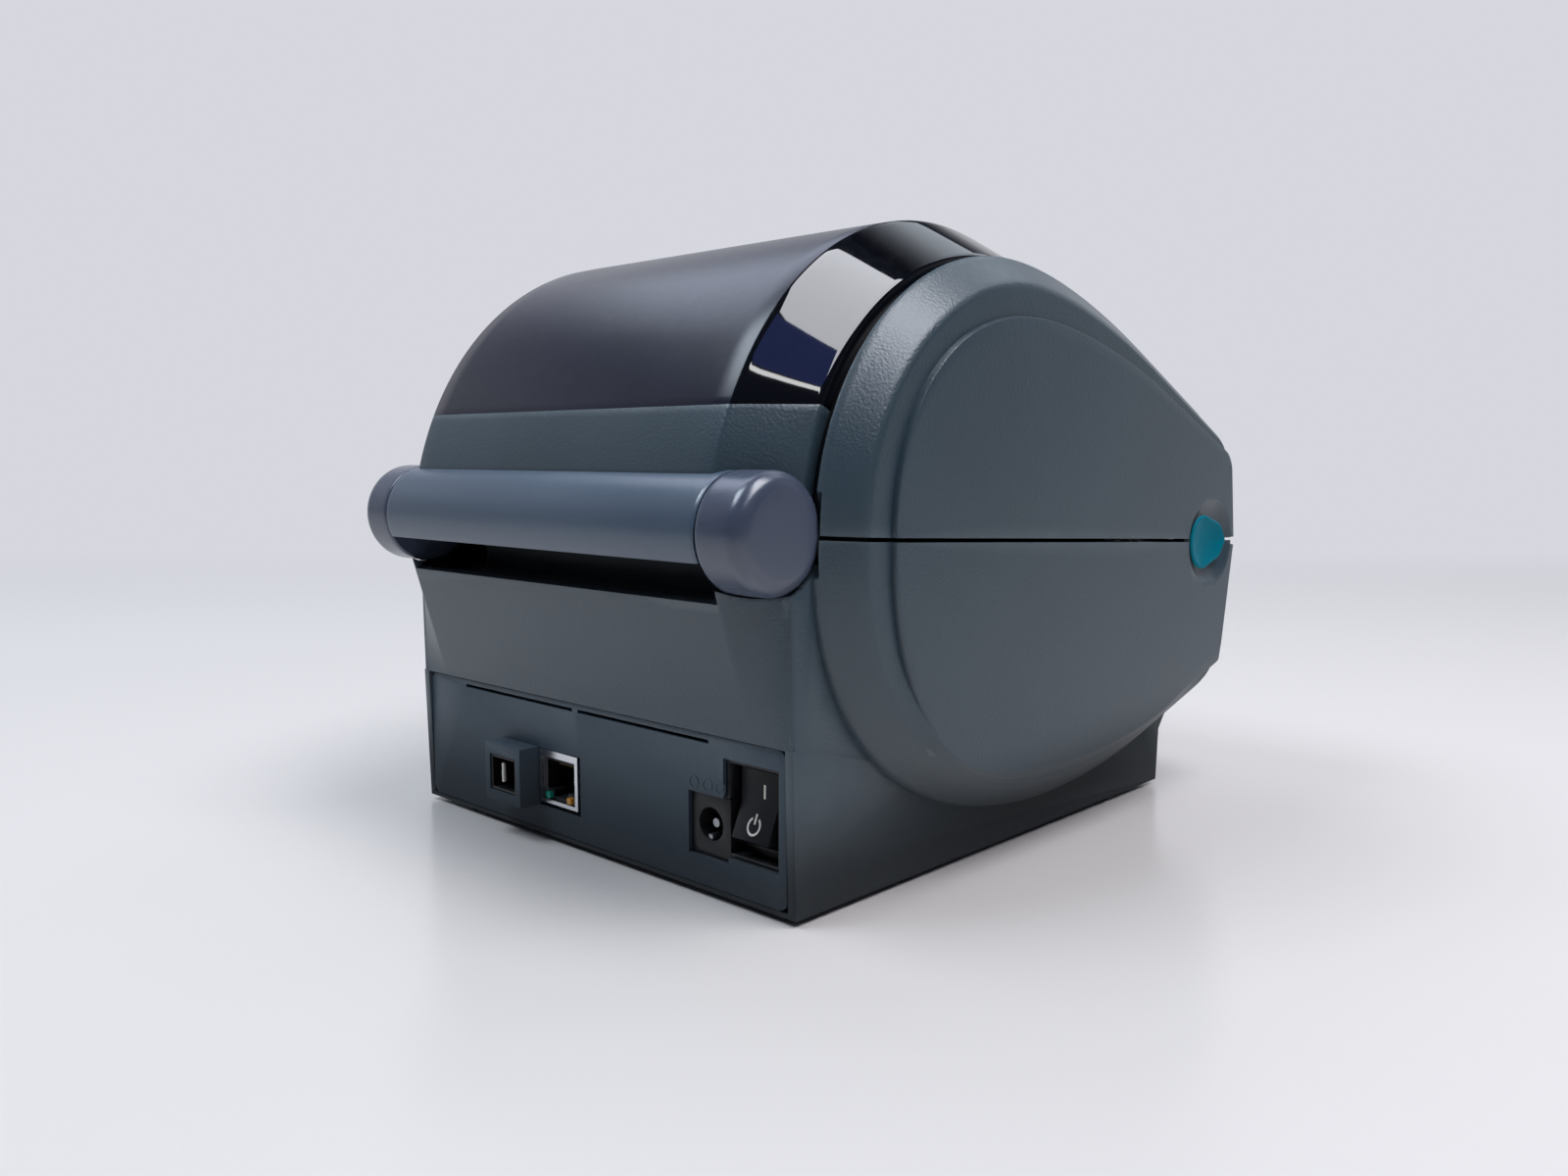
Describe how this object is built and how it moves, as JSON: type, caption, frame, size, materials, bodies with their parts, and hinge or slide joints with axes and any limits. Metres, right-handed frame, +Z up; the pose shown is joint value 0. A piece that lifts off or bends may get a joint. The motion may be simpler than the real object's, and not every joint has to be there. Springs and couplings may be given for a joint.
{
  "type": "thermal label printer",
  "caption": "Desktop thermal label printer with a hinged cover, smoked window, rear ports, latches, platen drive and sliding roll holders.",
  "frame": {"origin": "centre of the bounding box on the surface that the feet stand on", "axes": "+Z up, -Y towards the label exit at the front, +Y towards the hinge and the ports, +X to the right seen from the front"},
  "size_m": [0.1718, 0.21, 0.1605],
  "materials": {
    "casing": "dark slate grey-green satin with a fine pebble grain",
    "hinge_trim": "lighter blue-grey satin moulding",
    "smoked_window": "smoked clear plastic, satin in the middle and glossy on the side facets",
    "latch_teal": "semi-gloss teal",
    "black_plastic": "black moulding",
    "switch_black": "black semi-gloss with white marks",
    "inner_plastic": "grey moulded chassis",
    "steel": "plain steel",
    "port_shield": "bright tinned shield",
    "board_green": "green circuit board with solder mask",
    "capacitor_blue": "sleeved aluminium can",
    "motor_body": "zinc-plated can",
    "platen_rubber": "smooth black rubber",
    "foot_rubber": "black rubber",
    "gear_white": "off-white gear plastic",
    "bearing_white": "off-white bearing plastic",
    "pinion_brass": "brass",
    "holder_grey": "grey moulding",
    "hub_grey": "lighter grey moulding",
    "head_aluminium": "extruded heat sink",
    "print_ceramic": "glazed ceramic strip",
    "ring_lens": "frosted light ring",
    "feed_key": "grey key"
  },
  "bodies": {
    "base": {"base_shell": "casing", "bottom_plate": "black_plastic", "rubber_feet": "foot_rubber", "bottom_screws": "steel", "rear_panel": "casing", "hinge_cap_left": "hinge_trim", "hinge_cap_right": "hinge_trim", "hinge_pins": "steel", "media_chassis": "inner_plastic", "main_board": "board_green", "board_chips": "black_plastic", "board_capacitors": "capacitor_blue", "board_screws": "steel", "data_port": "port_shield", "network_port": "port_shield", "network_port_core": "black_plastic", "power_jack": "black_plastic", "power_jack_pin": "steel", "switch_frame": "switch_black", "exit_guide": "casing", "tear_bar": "steel", "drive_motor": "motor_body", "motor_screws": "steel", "idler_stud": "steel", "gap_sensor": "black_plastic", "platen_bearings": "bearing_white", "latch_pins": "steel"},
    "cover": {"top_casing": "casing", "window": "smoked_window", "cheek_left": "casing", "cheek_right": "casing", "guard_left": "casing", "guard_right": "casing", "cover_shelf": "inner_plastic", "shelf_screws": "steel", "head_carrier": "steel", "latch_strikes": "steel", "feed_ring": "ring_lens"},
    "print_head": {"heat_sink": "head_aluminium", "print_strip": "print_ceramic"},
    "feed_key": {"feed_button": "feed_key"},
    "platen": {"platen_shaft": "steel", "platen_rubber": "platen_rubber", "platen_gear": "gear_white"},
    "idler": {"idler_gear": "gear_white"},
    "motor_rotor": {"motor_pinion": "pinion_brass"},
    "holder_left": {"roll_holder_left": "holder_grey"},
    "holder_right": {"roll_holder_right": "holder_grey"},
    "hub_left": {"roll_hub_left": "hub_grey"},
    "hub_right": {"roll_hub_right": "hub_grey"},
    "link": {"link_pinion": "gear_white"},
    "sensor_sled": {"mark_sensor": "black_plastic"},
    "latch_lever_left": {"latch_left": "latch_teal"},
    "latch_lever_right": {"latch_right": "latch_teal"},
    "rocker": {"power_rocker": "switch_black"}
  },
  "joints": [
    {"name": "cover_hinge", "type": "hinge", "parent": "base", "child": "cover", "pos_m": [0, 0.0916, 0.0862], "axis": [-1, 0, 0], "range_deg": [0, 90]},
    {"name": "latch_left_pull", "type": "hinge", "parent": "base", "child": "latch_lever_left", "pos_m": [-0.07755, -0.086, 0.0495], "axis": [1, 0, 0], "range_deg": [0, 6], "stiffness_Nm_per_rad": 0.5, "springref_deg": -11.46},
    {"name": "latch_right_pull", "type": "hinge", "parent": "base", "child": "latch_lever_right", "pos_m": [0.07755, -0.086, 0.0495], "axis": [1, 0, 0], "range_deg": [0, 6], "stiffness_Nm_per_rad": 0.5, "springref_deg": -11.46},
    {"name": "power_rock", "type": "hinge", "parent": "base", "child": "rocker", "pos_m": [-0.06095, 0.0796, 0.0232], "axis": [-1, 0, 0], "range_deg": [0, 24.6]},
    {"name": "feed_press", "type": "slide", "parent": "cover", "child": "feed_key", "axis": [0, 0.4386, -0.8987], "range_m": [0, 0.0012], "stiffness_N_per_m": 300, "springref_m": -0.003},
    {"name": "head_lift", "type": "slide", "parent": "cover", "child": "print_head", "axis": [0, 0, 1], "range_m": [0, 0.0015], "stiffness_N_per_m": 4000, "springref_m": -0.004},
    {"name": "roll_holders", "type": "slide", "parent": "base", "child": "holder_left", "axis": [-1, 0, 0], "range_m": [0, 0.041], "stiffness_N_per_m": 60, "springref_m": -0.02},
    {"name": "roll_holder_right_slide", "type": "slide", "parent": "base", "child": "holder_right", "axis": [1, 0, 0], "range_m": [0, 0.0415]},
    {"name": "link_pinion_turn", "type": "hinge", "parent": "base", "child": "link", "pos_m": [0, 0.008, 0.0145], "axis": [0, 0, 1], "range_deg": [0, 300]},
    {"name": "hub_left_spin", "type": "hinge", "parent": "holder_left", "child": "hub_left", "pos_m": [-0.012, 0.008, 0.0855], "axis": [1, 0, 0], "continuous": true},
    {"name": "hub_right_spin", "type": "hinge", "parent": "holder_right", "child": "hub_right", "pos_m": [0.012, 0.008, 0.0855], "axis": [1, 0, 0], "continuous": true},
    {"name": "platen_spin", "type": "hinge", "parent": "base", "child": "platen", "pos_m": [0, -0.084, 0.069], "axis": [1, 0, 0], "continuous": true},
    {"name": "idler_spin", "type": "hinge", "parent": "base", "child": "idler", "pos_m": [0.064, -0.07139, 0.05031], "axis": [1, 0, 0], "continuous": true},
    {"name": "motor_spin", "type": "hinge", "parent": "base", "child": "motor_rotor", "pos_m": [0.066, -0.05654, 0.02829], "axis": [1, 0, 0], "continuous": true},
    {"name": "mark_sensor_slide", "type": "slide", "parent": "base", "child": "sensor_sled", "axis": [1, 0, 0], "range_m": [-0.04, 0.04]}
  ],
  "couplings": [
    {"joint": "roll_holder_right_slide", "follows": "roll_holders", "ratio": 1},
    {"joint": "link_pinion_turn", "follows": "roll_holders", "rad_per_m": 125},
    {"joint": "idler_spin", "follows": "platen_spin", "ratio": -1.8},
    {"joint": "motor_spin", "follows": "platen_spin", "ratio": 6.6857}
  ]
}
